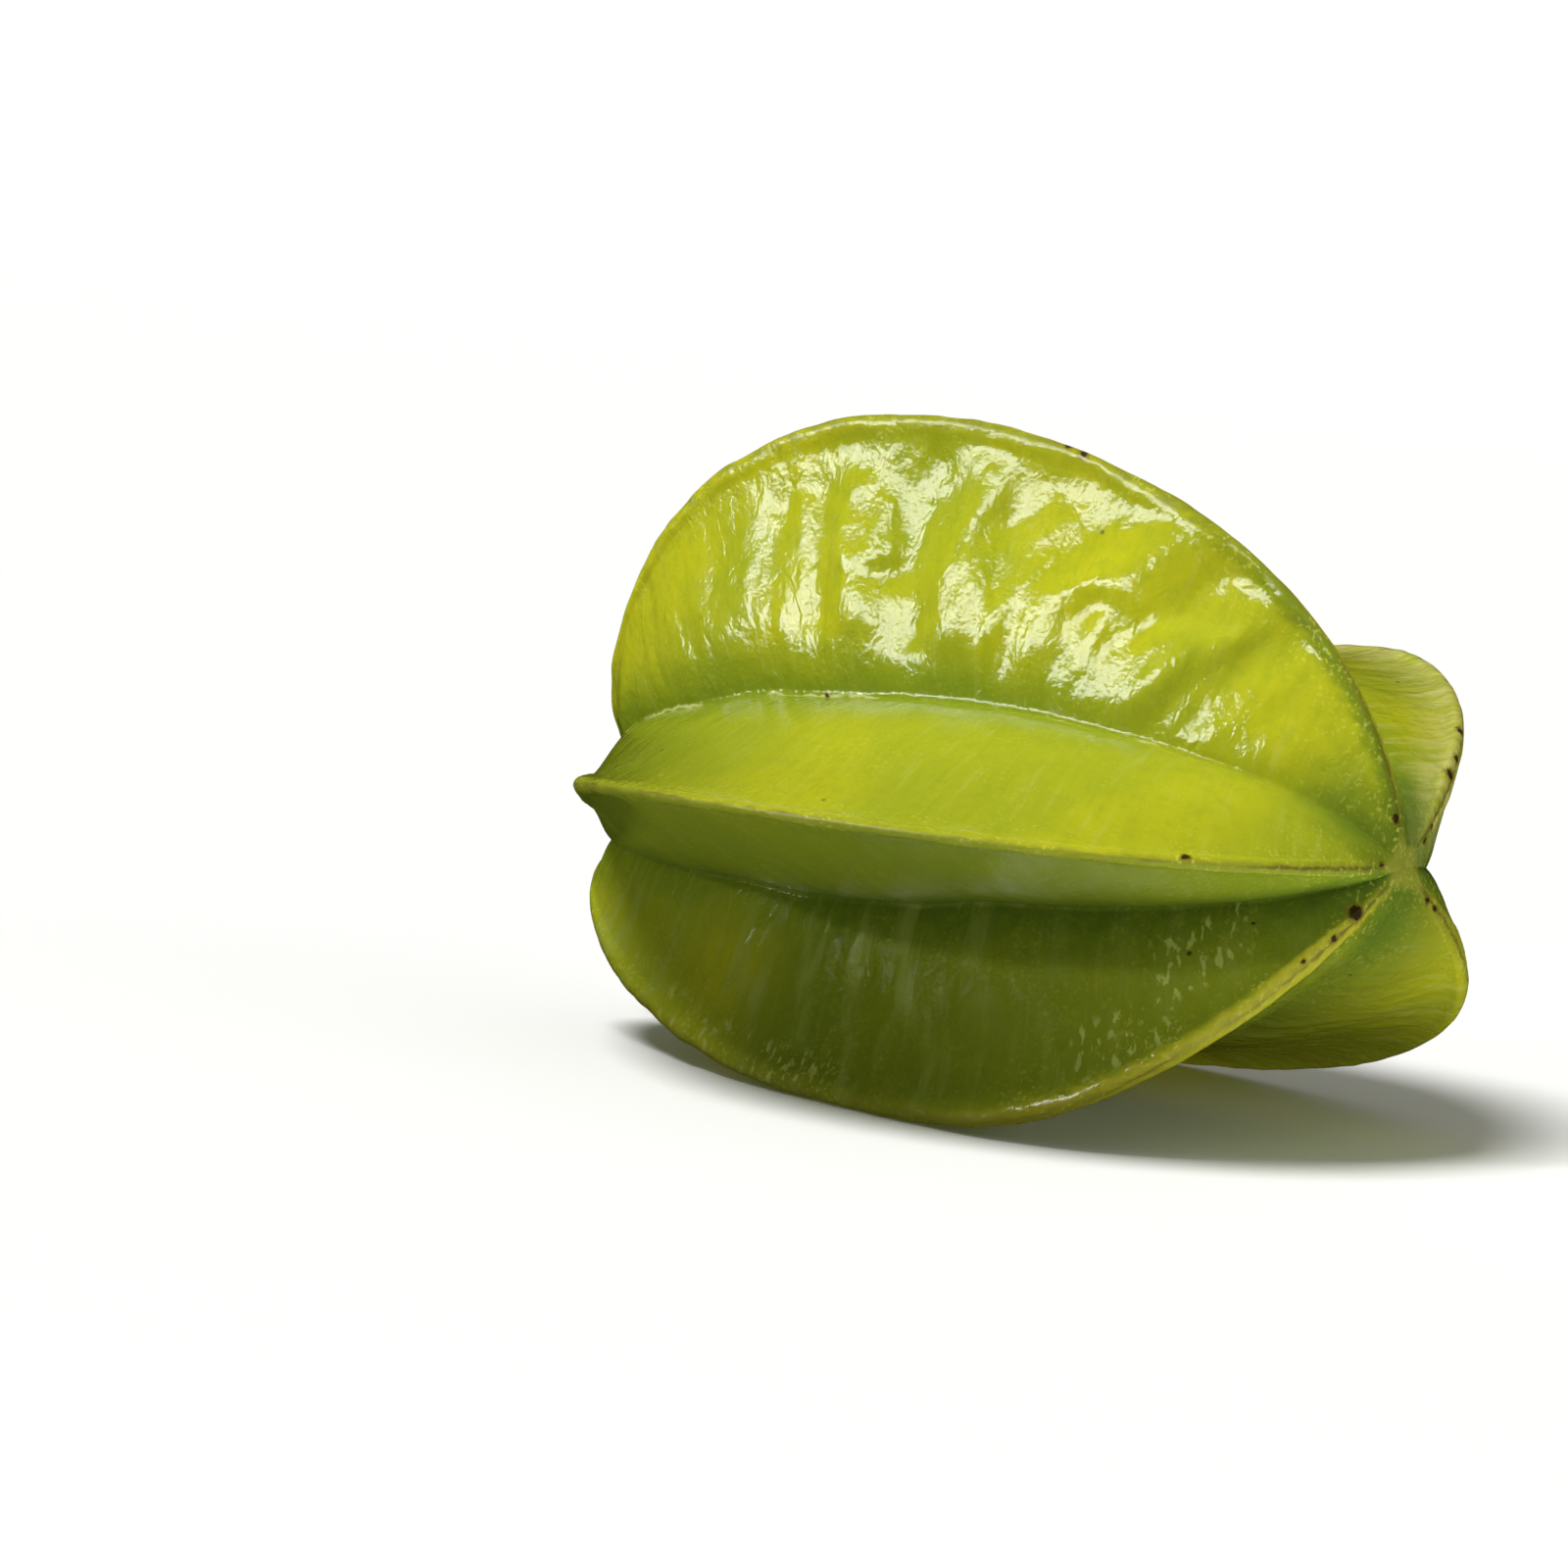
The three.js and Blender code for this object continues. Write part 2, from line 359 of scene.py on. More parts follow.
walked_along = np.concatenate([column_walk, column_walk[:, :1]], axis=1)
offset, start = np.zeros((STATIONS, AROUND)), 0
for flank in range(10):
    up = np.abs(from_valley[flank])
    total = up.max(axis=1, keepdims=True)
    share = up / np.maximum(total, 1e-6)
    count = up.shape[1] - 1
    lengthwise = walked_along[:, start : start + count + 1]
    leaning = lengthwise - 0.5 * up * np.clip((lengthwise - 50) / 40, 0, 1)
    leaning = leaning + 0.8 * waver(lengthwise, up, 4, 4, 9 + flank)
    wide, high = FOLD_CELLS
    folds = waver(leaning, up, wide, high, 41 + 7 * flank)
    folds += FINER_FOLDS * waver(leaning, up, wide / 2, high / 2, 42 + 7 * flank)
    folds += SLOW_SWELL * waver(lengthwise, up, SWELL_CELL, SWELL_CELL, 43 + 7 * flank)
    moved = FOLD_DEPTH[flank] * folds
    if flank == 0:
        moved = moved + bold_relief(lengthwise, up)
    fade = np.sin(np.pi * np.clip(share * 1.04, 0, 1)) ** 0.5 * np.sin(np.pi * along)[:, None] ** 0.5
    away = from_crest[flank]
    uneven = 0.16 * waver(lengthwise, away, 2.8, 1.7, 11) + 0.07 * waver(lengthwise, away, 1.2, 1.2, 12)
    on_crest = np.exp(-((away / 2.5) ** 2)) * np.sin(np.pi * along)[:, None]
    offset[:, start : start + count] = (moved * fade + uneven * on_crest)[:, :-1]
    start += count

down_row = np.gradient(smooth_skin, axis=0)
round_row = np.roll(smooth_skin, -1, axis=1) - np.roll(smooth_skin, 1, axis=1)
normal = np.cross(round_row, down_row)
normal /= np.linalg.norm(normal, axis=2, keepdims=True)
if (normal[STATIONS // 2] * (smooth_skin[STATIONS // 2] * [0, 1, 1])).sum() < 0:
    normal = -normal
skin_points = smooth_skin + normal * offset[..., None]
print("wrinkles up to", round(float(np.abs(offset).max()), 2), "mm")

# %% [markdown]
# ## Laying it down
#
# A star fruit on a table rocks until its weight lies over the line between the two ribs it touches with.
# The small roll and pitch below are that resting place. The whole fruit is then lifted until its lowest
# point touches the ground.

# %% Resting place
REST_ROLL = math.radians(1.1)
REST_PITCH = math.radians(3.7)
CENTRE = np.array([0.306, 1.469, 25.139])  # where the middle of the fruit comes to lie

cr, sr, cp, sp = math.cos(REST_ROLL), math.sin(REST_ROLL), math.cos(REST_PITCH), math.sin(REST_PITCH)
roll = np.array([[1, 0, 0], [0, cr, -sr], [0, sr, cr]])
pitch = np.array([[cp, 0, -sp], [0, 1, 0], [sp, 0, cp]])
TIP_OVER = pitch @ roll


def lay_down(points):
    """Points in mm in the fruit's own frame, laid down and turned to metres."""
    return (np.asarray(points) @ TIP_OVER.T + CENTRE) * MM


lowest = (lay_down(skin_points.reshape(-1, 3))[:, 2]).min()
print("lowest point, mm:", round(lowest * 1000, 3))

# %% [markdown]
# ### The skin mesh
#
# Four neighbouring points make one face, and a fan of triangles closes each end at its pole.

# %% Make the skin mesh
around = np.arange(AROUND)
beside = (around + 1) % AROUND
rows = np.arange(STATIONS - 1)[:, None] * AROUND
quads = np.stack([rows + around, rows + beside, rows + AROUND + beside, rows + AROUND + around], -1)
stem_pole = STATIONS * AROUND
stem_fan = np.stack([np.full(AROUND, stem_pole), beside, around], -1)
last = (STATIONS - 1) * AROUND
tip_fan = np.stack([np.full(AROUND, stem_pole + 1), last + around, last + beside], -1)

skin_mesh = bpy.data.meshes.new("fruit_skin")
everything = lay_down(np.concatenate([skin_points.reshape(-1, 3), poles]))
everything[:, 2] -= lowest
skin_mesh.from_pydata(
    everything.tolist(), [], quads.reshape(-1, 4).tolist() + stem_fan.tolist() + tip_fan.tolist()
)
skin_mesh.validate()
skin = bpy.data.objects.new("fruit_skin", skin_mesh)
bpy.context.scene.collection.objects.link(skin)
skin_mesh.polygons.foreach_set("use_smooth", [True] * len(skin_mesh.polygons))
print(len(skin_mesh.polygons), "faces")

# %% [markdown]
# ## Measurements the paint will need
#
# The colour of the skin follows its shape: greener in the valleys, browner along the crests, streaked from
# valley to crest. So each face corner carries three lengths in mm: how far along the fruit it lies, how far
# from its valley (negative on one side and positive on the other), and how far from its crest. Each face
# also carries the number of its flank, so that no two flanks get the same streaks.

# %% Lengths on the skin
corner_map = np.zeros((STATIONS - 1, AROUND, 4, 3))
face_flank = np.array(flank_of_face)
start = 0
for flank in range(10):
    count = from_valley[flank].shape[1] - 1
    here = slice(start, start + count)
    for corner, (dr, dc) in enumerate(((0, 0), (0, 1), (1, 1), (1, 0))):
        r = slice(dr, STATIONS - 1 + dr)
        corner_map[:, here, corner, 0] = walked_along[r, start + dc : start + dc + count]
        corner_map[:, here, corner, 1] = from_valley[flank][r, dc : dc + count]
        corner_map[:, here, corner, 2] = from_crest[flank][r, dc : dc + count]
    start += count


def fan_lengths(row, order):
    """The same three lengths at the corners of a fan of triangles round a pole."""
    ring = corner_map[row, :, :, :]
    first, second = (0, 1) if row == 0 else (3, 2)
    end = 0.0 if row == 0 else LINE_LENGTH
    at_pole = np.stack([np.full(AROUND, end), np.zeros(AROUND), np.zeros(AROUND)], -1)
    sides = {"here": ring[:, first], "next": ring[:, second], "pole": at_pole}
    return np.stack([sides[name] for name in order], 1)


lengths = np.concatenate(
    [
        corner_map.reshape(-1, 3),
        fan_lengths(0, ("pole", "next", "here")).reshape(-1, 3),
        fan_lengths(STATIONS - 2, ("pole", "here", "next")).reshape(-1, 3),
    ]
)
skin_lengths = skin_mesh.attributes.new("skin_lengths", "FLOAT_VECTOR", "CORNER")
skin_lengths.data.foreach_set("vector", lengths.astype(np.float32).ravel())
flank_number = skin_mesh.attributes.new("flank_number", "FLOAT", "FACE")
numbers = np.concatenate([np.tile(face_flank, STATIONS - 1), face_flank, face_flank])
flank_number.data.foreach_set("value", numbers.astype(np.float32))
print("lengths on", len(lengths), "face corners")

# %% [markdown]
# ## Colours and nodes
#
# Colours are picked as sRGB hex values, as a painter would read them off a chart, and one function turns
# them to the linear numbers that a shader works in. Another adds a node, and a third multiplies values.

# %% Three helpers for all materials


def paint(hex_code):
    """An sRGB hex colour as linear red, green, blue and a full alpha."""
    parts = [int(hex_code[i : i + 2], 16) / 255 for i in (1, 3, 5)]
    linear = [p / 12.92 if p <= 0.04045 else ((p + 0.055) / 1.055) ** 2.4 for p in parts]
    return (*linear, 1.0)


def add(tree, kind, inputs=(), **settings):
    """A new node of that kind: settings are its properties, inputs are values or sockets to join."""
    node = tree.nodes.new("ShaderNode" + kind)
    for name, value in settings.items():
        setattr(node, name, value)
    for name, value in dict(inputs).items():
        if isinstance(value, bpy.types.NodeSocket):
            tree.links.new(value, node.inputs[name])
        else:
            node.inputs[name].default_value = value
    return node


def product(tree, *factors):
    """All the factors multiplied together."""
    result = factors[0]
    for factor in factors[1:]:
        result = add(tree, "Math", {0: result, 1: factor}, operation="MULTIPLY").outputs[0]
    return result


print("a ripe yellow-green:", [round(c, 3) for c in paint("#a3ac22")])

# %% [markdown]
# ## Waxed star fruit skin
#
# What it is: a thin, smooth, waxy cuticle over crisp, watery flesh. The wax gives small sharp reflections
# with a fine grain, like orange peel but flatter. The flesh under it is clouded like jelly, so light goes
# in, spreads a few millimetres and comes out yellow-green, and thin crests glow. IOR 1.45 is usual for
# plant wax and water-filled flesh.

# %% Start the skin material
waxed_skin = bpy.data.materials.new("waxed_star_fruit_skin")
waxed_skin.use_nodes = True
tree = waxed_skin.node_tree
tree.nodes.clear()

place = add(tree, "TexCoord").outputs["Object"]
place_mm = add(tree, "VectorMath", {0: place, "Scale": 1000.0}, operation="SCALE").outputs[0]
measured = add(tree, "Attribute", attribute_name="skin_lengths").outputs["Vector"]
flank_id = add(tree, "Attribute", attribute_name="flank_number").outputs["Fac"]
lengths_xyz = add(tree, "SeparateXYZ", {0: measured})
along_mm, valley_mm, crest_mm = (lengths_xyz.outputs[i] for i in range(3))
valley_away = add(tree, "Math", {0: valley_mm}, operation="ABSOLUTE").outputs[0]
flank_shift = add(tree, "Math", {0: flank_id, 1: 37.0}, operation="MULTIPLY").outputs[0]
flank_place = add(
    tree, "CombineXYZ", {"X": along_mm, "Y": valley_away, "Z": flank_shift}
).outputs[0]
print(len(tree.nodes), "nodes to read the skin")

# %% [markdown]
# ### Ground colour
#
# The ripening yellow comes up in soft clouds 15 to 25 mm across, over a fresher green. Noise does the
# dabbing that a painter would do, because it needs no unwrapped picture and keeps its size in mm all over
# the fruit. Five small functions do what repeats.

# %% Clouds of yellow


def stretched(tree, vector, cells_mm):
    """The vector divided by a cell size in mm for each direction, ready for a noise of scale 1."""
    return add(
        tree, "VectorMath", {0: vector, 1: tuple(1 / c for c in cells_mm)}, operation="MULTIPLY"
    ).outputs[0]


def ease(tree, value, low, high, to_low=0.0, to_high=1.0):
    """Eases from one number to another as value goes from low to high."""
    return add(
        tree,
        "MapRange",
        {"Value": value, "From Min": low, "From Max": high, "To Min": to_low, "To Max": to_high},
        interpolation_type="SMOOTHSTEP",
    ).outputs[0]


def tint(tree, amount, base, over):
    """Lays one colour over another by an amount."""
    return add(tree, "Mix", {0: amount, 6: base, 7: over}, data_type="RGBA").outputs[2]


def on_flanks(tree, first, last, elsewhere=0.0):
    """1 on the flanks from first to last, and another number elsewhere."""
    return product(
        tree,
        ease(tree, flank_id, first - 0.6, first - 0.4, elsewhere, 1.0),
        ease(tree, flank_id, last + 0.6, last + 0.4, elsewhere, 1.0),
    )


def within(tree, value, low, high, edge):
    """1 between two numbers, easing to 0 over the edge beyond them."""
    return product(tree, ease(tree, value, low - edge, low), ease(tree, value, high + edge, high))


clouds = add(
    tree, "TexNoise", {"Vector": stretched(tree, place_mm, (22, 22, 22)), "Scale": 1.0, "Detail": 3.0}
).outputs["Fac"]
ground = tint(tree, ease(tree, clouds, 0.38, 0.64), paint("#a2aa22"), paint("#b6b71e"))
print(len(tree.nodes), "nodes")

# %% [markdown]
# ### Where it stays green, and painted shade
#
# The valleys are green in a band a few millimetres wide with a ragged edge, partly greener skin and partly
# painted shade in the crease. The upper front valley is riper towards the tip. The underside of the front
# rib is a darker green. Both faces of the low rib carry painted shade, weaker towards the stem, and the
# front rib's upper face carries a painted shade that is strongest towards the stem.

# %% Green valleys and shaded faces
valley_edge = add(
    tree, "TexNoise", {"Vector": stretched(tree, flank_place, (7, 3, 1)), "Scale": 1.0, "Detail": 3.0}
).outputs["Fac"]
valley_reach = add(
    tree, "Math", {0: valley_edge, 1: 6.0, 2: valley_away}, operation="MULTIPLY_ADD"
).outputs[0]
ripe_end = product(tree, on_flanks(tree, 0, 1), ease(tree, along_mm, 66.0, 92.0, 0.0, 0.75))
still_green = add(tree, "Math", {0: 1.0, 1: ripe_end}, operation="SUBTRACT").outputs[0]
# The valley band is greener skin, with painted shade in the crease.
valley_green_and_shade = product(tree, ease(tree, valley_reach, 3.0, 11.0, 0.75, 0.0), still_green)
ground = tint(tree, valley_green_and_shade, ground, paint("#728c1f"))

# Painted shade on both faces of the low rib, weaker towards the stem.
shaded_low_rib = product(tree, on_flanks(tree, 3, 4), ease(tree, along_mm, 38.0, 56.0, 0.2, 1.0), 0.65)
ground = tint(tree, shaded_low_rib, ground, paint("#56701f"))
ground = tint(tree, product(tree, on_flanks(tree, 2, 2), 0.6), ground, paint("#6f8f28"))
# Painted shade on the front rib's upper face, strongest towards the stem.
front_rib_stem_shade = product(tree, on_flanks(tree, 1, 1), ease(tree, along_mm, 66.0, 36.0, 0.2, 0.9))
ground = tint(tree, front_rib_stem_shade, ground, paint("#84931f"))
print(len(tree.nodes), "nodes")

# %% [markdown]
# ### Fibres, and the two back ribs
#
# Faint fibres run from valley to crest, a millimetre or so apart, and seem to lie just under the skin. They
# are a noise with cells ten times as long up the flank as along the fruit. They show most on the two back
# ribs. The lower of those is duller and greener. The upper one is pale and streaky towards its crest,
# partly its own colour and partly a painted sheen.

# %% Fibres and back ribs
fibre_noise = add(
    tree,
    "TexNoise",
    {"Vector": stretched(tree, flank_place, (1.1, 11, 1)), "Scale": 1.0, "Detail": 3.0, "Roughness": 0.6},
).outputs["Fac"]
pale_fibre = product(
    tree, ease(tree, fibre_noise, 0.52, 0.75, 0.0, 0.55), on_flanks(tree, 5, 8, elsewhere=0.3)
)
ground = tint(tree, pale_fibre, ground, paint("#c9c76a"))
back_green = product(tree, on_flanks(tree, 5, 6), ease(tree, valley_away, 17.0, 4.0, 0.15, 0.75))
ground = tint(tree, back_green, ground, paint("#6f7c22"))
pale_streaks = ease(tree, fibre_noise, 0.36, 0.62, 0.25, 0.8)
# Pale streaks near the upper back rib's crest, partly its own colour and partly painted sheen.
pale_streaks_and_sheen = product(tree, on_flanks(tree, 7, 8), ease(tree, crest_mm, 11.0, 1.5), pale_streaks)
ground = tint(tree, pale_streaks_and_sheen, ground, paint("#d0cb7c"))
print(len(tree.nodes), "nodes")

# %% [markdown]
# ### Painted highlights on the low rib
#
# The front of the low rib has soft pale streaks a few millimetres wide, which are painted highlights. It
# also glints in patches of small pale flecks, painted in the same way. Painting them is simpler than
# shaping the skin to catch a lamp there, but unlike real glints they stay put as the viewer moves.

# %% Painted highlights on the low rib
# Soft pale streaks: painted highlights on the low rib's front face.
sheen_streak_noise = add(
    tree,
    "TexNoise",
    {"Vector": stretched(tree, flank_place, (3.2, 16, 1)), "Scale": 1.0, "Detail": 4.0, "Roughness": 0.55},
).outputs["Fac"]
low_face = on_flanks(tree, 3, 3)
sheen_streak_fade = ease(tree, along_mm, 84.0, 60.0, 0.3, 1.0)
sheen_streaks = product(tree, low_face, ease(tree, sheen_streak_noise, 0.5, 0.66, 0.0, 0.5), sheen_streak_fade)
ground = tint(tree, sheen_streaks, ground, paint("#a7b354"))

# Patches where small pale flecks are painted as highlights on the low rib.
GLINT_PATCHES = [  # along the fruit, then away from the crest, in mm
    ((93.0, 100.0), (9.0, 17.0)),
    ((85.0, 92.0), (3.5, 9.0)),
    ((34.0, 56.0), (1.2, 3.5)),
]
glint_noise = add(
    tree, "TexNoise", {"Vector": stretched(tree, flank_place, (0.8, 1.9, 1)), "Scale": 1.0, "Detail": 3.0}
).outputs["Fac"]
glinting = 0.0
for lengthwise_mm, from_edge_mm in GLINT_PATCHES:
    patch = product(
        tree, within(tree, along_mm, *lengthwise_mm, 3.0), within(tree, crest_mm, *from_edge_mm, 2.0)
    )
    glinting = add(tree, "Math", {0: patch, 1: glinting}, operation="MAXIMUM").outputs[0]
# Pale flecks painted as highlights inside those patches.
painted_glints = product(tree, low_face, glinting, ease(tree, glint_noise, 0.55, 0.62, 0.0, 0.8))
ground = tint(tree, painted_glints, ground, paint("#c3cc6c"))
print(len(GLINT_PATCHES), "scuffed patches")

# %% [markdown]
# ### Mottling
#
# Seen close, no patch of skin is one colour. The gaps between fibres are a little greener, and a soft
# mottle about a millimetre and a half across goes over everything.

# %% Green between the fibres, and mottle
ground = tint(tree, ease(tree, fibre_noise, 0.5, 0.3, 0.0, 0.2), ground, paint("#84931a"))
mottle = add(
    tree, "TexNoise", {"Vector": stretched(tree, place_mm, (1.4, 1.4, 1.4)), "Scale": 1.0, "Detail": 4.0}
).outputs["Fac"]
ground = tint(tree, ease(tree, mottle, 0.45, 0.7, 0.0, 0.3), ground, paint("#8c9c20"))
print(len(tree.nodes), "nodes")

# %% [markdown]
# ### Crests
#
# A crest is what rubs against leaves and boxes. The skin there is mottled yellow for a millimetre or two,
# most of all on the low rib near the tip, and olive on the very top. The top rib is green along its crest
# towards the tip, and all along its crest it is painted a darker olive, as painted shade. The distance from
# the crest is made uneven with noise first, so that none of these bands has a straight edge.

# %% Crest bands
crest_wobble = add(
    tree, "TexNoise", {"Vector": stretched(tree, flank_place, (2.2, 0.9, 1)), "Scale": 1.0, "Detail": 4.0}
).outputs["Fac"]
crest_away = add(
    tree, "Math", {0: crest_wobble, 1: 3.2, 2: crest_mm}, operation="MULTIPLY_ADD"
).outputs[0]
low_rib_tip = product(tree, on_flanks(tree, 3, 4), ease(tree, along_mm, 66.0, 84.0))
yellowness = add(tree, "Math", {0: low_rib_tip, 1: 0.7, 2: 0.18}, operation="MULTIPLY_ADD").outputs[0]
yellow_edge = product(tree, ease(tree, crest_away, 4.0, 2.3), yellowness)
ground = tint(tree, yellow_edge, ground, paint("#b6b22a"))

top_face = on_flanks(tree, 0, 0)
near_tip_half = ease(tree, along_mm, 78.0, 100.0)
green_band = product(tree, top_face, near_tip_half, ease(tree, crest_away, 5.6, 2.6, 0.0, 0.8))
ground = tint(tree, green_band, ground, paint("#66801f"))
ground = tint(tree, ease(tree, crest_away, 2.4, 1.5, 0.0, 0.5), ground, paint("#8a8d22"))
# Painted shade: a darker olive along the top rib's crest.
top_rim_shade = product(tree, top_face, ease(tree, crest_away, 3.2, 1.8, 0.0, 0.55))
ground = tint(tree, top_rim_shade, ground, paint("#757d1e"))
print(len(tree.nodes), "nodes")

# %% [markdown]
# ### The brown line along a crest
#
# A brown line under a millimetre wide runs along the crests, like the cork that skin grows over a scratch.
# It comes and goes along the rib, and is darkest close to the blossom tip, where the petals were.

# %% Brown line
line_breaks = add(
    tree, "TexNoise", {"Vector": stretched(tree, flank_place, (7, 50, 1)), "Scale": 1.0, "Detail": 6.0}
).outputs["Fac"]
line_place = add(
    tree, "Math", {0: crest_wobble, 1: 0.7, 2: crest_mm}, operation="MULTIPLY_ADD"
).outputs[0]
by_the_tip = ease(tree, along_mm, 100.0, 112.0)
line_start = add(
    tree, "Math", {0: by_the_tip, 1: 0.25, 2: line_breaks}, operation="MULTIPLY_ADD"
).outputs[0]
line_strength = ease(tree, line_start, 0.44, 0.68, 0.0, 0.65)
brown_line = product(tree, ease(tree, line_place, 0.62, 0.42), line_strength)
ground = tint(tree, brown_line, ground, paint("#66551c"))
print(len(tree.nodes), "nodes")

# %% [markdown]
# ### Creases and the blossom tip
#
# At the bottom of the upper front valley a pale line a quarter of a millimetre wide wanders along the
# crease, broken here and there, and dies out towards the tip. It is partly pale skin where the flanks meet
# and partly a painted highlight along the crease. Around the tip itself the valleys stay dark green, and
# the five ribs meet in a small yellow star.

# %% Pale line and painted highlight in the crease, dark green round the tip
crease_wander = add(
    tree, "TexNoise", {"Vector": stretched(tree, place_mm, (3.0, 3.0, 3.0)), "Scale": 1.0, "Detail": 3.0}
).outputs["Fac"]
crease_place = add(
    tree, "Math", {0: crease_wander, 1: 2.4, 2: valley_mm}, operation="MULTIPLY_ADD"
).outputs[0]
crease_off = add(tree, "Math", {0: crease_place, 1: 1.2}, operation="SUBTRACT").outputs[0]
crease_miss = add(tree, "Math", {0: crease_off}, operation="ABSOLUTE").outputs[0]
crease_breaks = add(
    tree, "TexNoise", {"Vector": stretched(tree, place_mm, (6.0, 30.0, 30.0)), "Scale": 1.0, "Detail": 5.0}
).outputs["Fac"]
# The pale line in the crease: partly pale skin, partly a painted highlight.
crease_line_and_glint = product(
    tree,
    ease(tree, crease_miss, 0.24, 0.08, 0.0, 0.8),
    ease(tree, crease_breaks, 0.42, 0.56),
    ease(tree, along_mm, 97.0, 86.0),
    on_flanks(tree, 0, 1, elsewhere=0.15),
)
tip_zone = product(tree, ease(tree, valley_reach, 9.0, 3.5), ease(tree, along_mm, 101.0, 112.0, 0.0, 0.75))
ground = tint(tree, tip_zone, ground, paint("#56701f"))
ground = tint(tree, ease(tree, along_mm, 115.6, 116.8, 0.0, 0.6), ground, paint("#a6a63a"))
ground = tint(tree, crease_line_and_glint, ground, paint("#d2d489"))
print(len(tree.nodes), "nodes")

# %% [markdown]
# ### Pale pores
#
# Fine pale specks, taken here for pores, are crowded along the crests and lie in loose patches elsewhere.
# They are the highest parts of a noise with cells of 0.42 mm.

# %% Pores
PORE = 0.42
pore_noise = add(
    tree, "TexNoise", {"Vector": stretched(tree, place_mm, (PORE, PORE, PORE)), "Scale": 1.0, "Detail": 1.0}
).outputs["Fac"]
pore_patches = add(
    tree, "TexNoise", {"Vector": stretched(tree, place_mm, (6.0, 6.0, 6.0)), "Scale": 1.0, "Detail": 2.0}
).outputs["Fac"]
pores = product(
    tree,
    ease(tree, pore_noise, 0.56, 0.7, 0.0, 0.6),
    ease(tree, pore_patches, 0.35, 0.65),
    ease(tree, crest_mm, 7.0, 1.0, 0.35, 1.0),
)
ground = tint(tree, pores, ground, paint("#cfcf55"))
print(len(tree.nodes), "nodes")

# %% [markdown]
# ### Specks and scars
#
# Small brown marks are left where insects or neighbouring twigs touched the skin: most of them sit on a
# crest close to the blossom tip. Each one is placed by its flank, how far along it lies and how far from
# the crest, and how big it is. How close each point of the skin lies to a mark is measured here.

# %% Place the marks
MARKS = [  # flank, along the fruit, away from the crest, radius, all but the first in mm
    (0, 114.7, 0.5, 0.60),
    (1, 116.2, 0.3, 0.40),
    (3, 112.0, 0.5, 1.00),
    (3, 109.2, 0.2, 0.50),
    (3, 105.8, 0.5, 0.35),
    (7, 114.7, 0.5, 0.50),
    (7, 113.0, 0.2, 0.35),
    (5, 115.0, 0.3, 0.50),
    (5, 113.6, 0.2, 0.40),
    (8, 106.8, 0.4, 0.80),
    (8, 104.0, 0.3, 0.60),
    (8, 99.6, 0.5, 0.70),
    (0, 74.3, 0.2, 0.70),
    (0, 72.6, 0.1, 0.50),
    (1, 97.3, 0.6, 0.55),
    (1, 47.8, 28.3, 0.35),
    (3, 95.2, 14.0, 0.30),
    (3, 101.9, 13.2, 0.25),
]
nearness = np.zeros((STATIONS, AROUND))
flank_start = np.cumsum([0] + [lines.shape[1] - 1 for lines in from_valley])
for flank, at, away, radius in MARKS:
    here = slice(flank_start[flank], flank_start[flank] + from_crest[flank].shape[1])
    miss = np.hypot(walked_along[:, here] - at, from_crest[flank] - away)
    row, column = np.unravel_index(miss.argmin(), miss.shape)
    centre = skin_points[row, (flank_start[flank] + column) % AROUND]
    distance = np.linalg.norm(skin_points - centre, axis=2)
    nearness = np.maximum(nearness, np.exp(-((distance / radius) ** 2)))
mark_nearness = skin_mesh.attributes.new("mark_nearness", "FLOAT", "POINT")
mark_nearness.data.foreach_set("value", np.concatenate([nearness.ravel(), [0, 0]]).astype(np.float32))
print(len(MARKS), "marks, strongest", round(float(nearness.max()), 2))

# %% [markdown]
# ### Painting the marks
#
# A mark looks like a healed wound: nearly black in the middle, in a ring of corky brown. Noise is added to
# the nearness before it is cut off at two levels, so the middle and the ring both get a ragged edge. Tiny
# dark dots are scattered over the rest.

# %% Paint the marks
mark_edge = add(
    tree, "TexNoise", {"Vector": stretched(tree, place_mm, (0.5, 0.5, 0.5)), "Scale": 1.0, "Detail": 3.0}
).outputs["Fac"]
nearby = add(tree, "Attribute", attribute_name="mark_nearness").outputs["Fac"]
marked = add(tree, "Math", {0: mark_edge, 1: 0.7, 2: nearby}, operation="MULTIPLY_ADD").outputs[0]
ground = tint(tree, ease(tree, marked, 0.55, 0.8, 0.0, 0.6), ground, paint("#7d6a1e"))
ground = tint(tree, ease(tree, marked, 0.8, 1.05, 0.0, 0.95), ground, paint("#2f2110"))
dots = add(tree, "TexVoronoi", {"Vector": stretched(tree, place_mm, (6.5, 6.5, 6.5)), "Scale": 1.0})
dot_pick = add(tree, "SeparateColor", {0: dots.outputs["Color"]}).outputs[0]
tiny_dots = product(
    tree, ease(tree, dots.outputs["Distance"], 0.05, 0.03), ease(tree, dot_pick, 0.6, 0.7, 0.0, 0.7)
)
ground = tint(tree, tiny_dots, ground, paint("#4c4a18"))
print(len(tree.nodes), "nodes")

# %% [markdown]
# ### Wax relief and the finished shader
#
# Two reliefs are too fine to model, so bumps carry them. The wax has a grain under half a millimetre across
# and a few hundredths deep. The skin is also puckered into shallow dimples 1.5 to 2.6 mm across, about
# half as deep on the front rib as on the others. The wax is smooth and very shiny. It is duller along the
# crests and on the underside of the front rib.

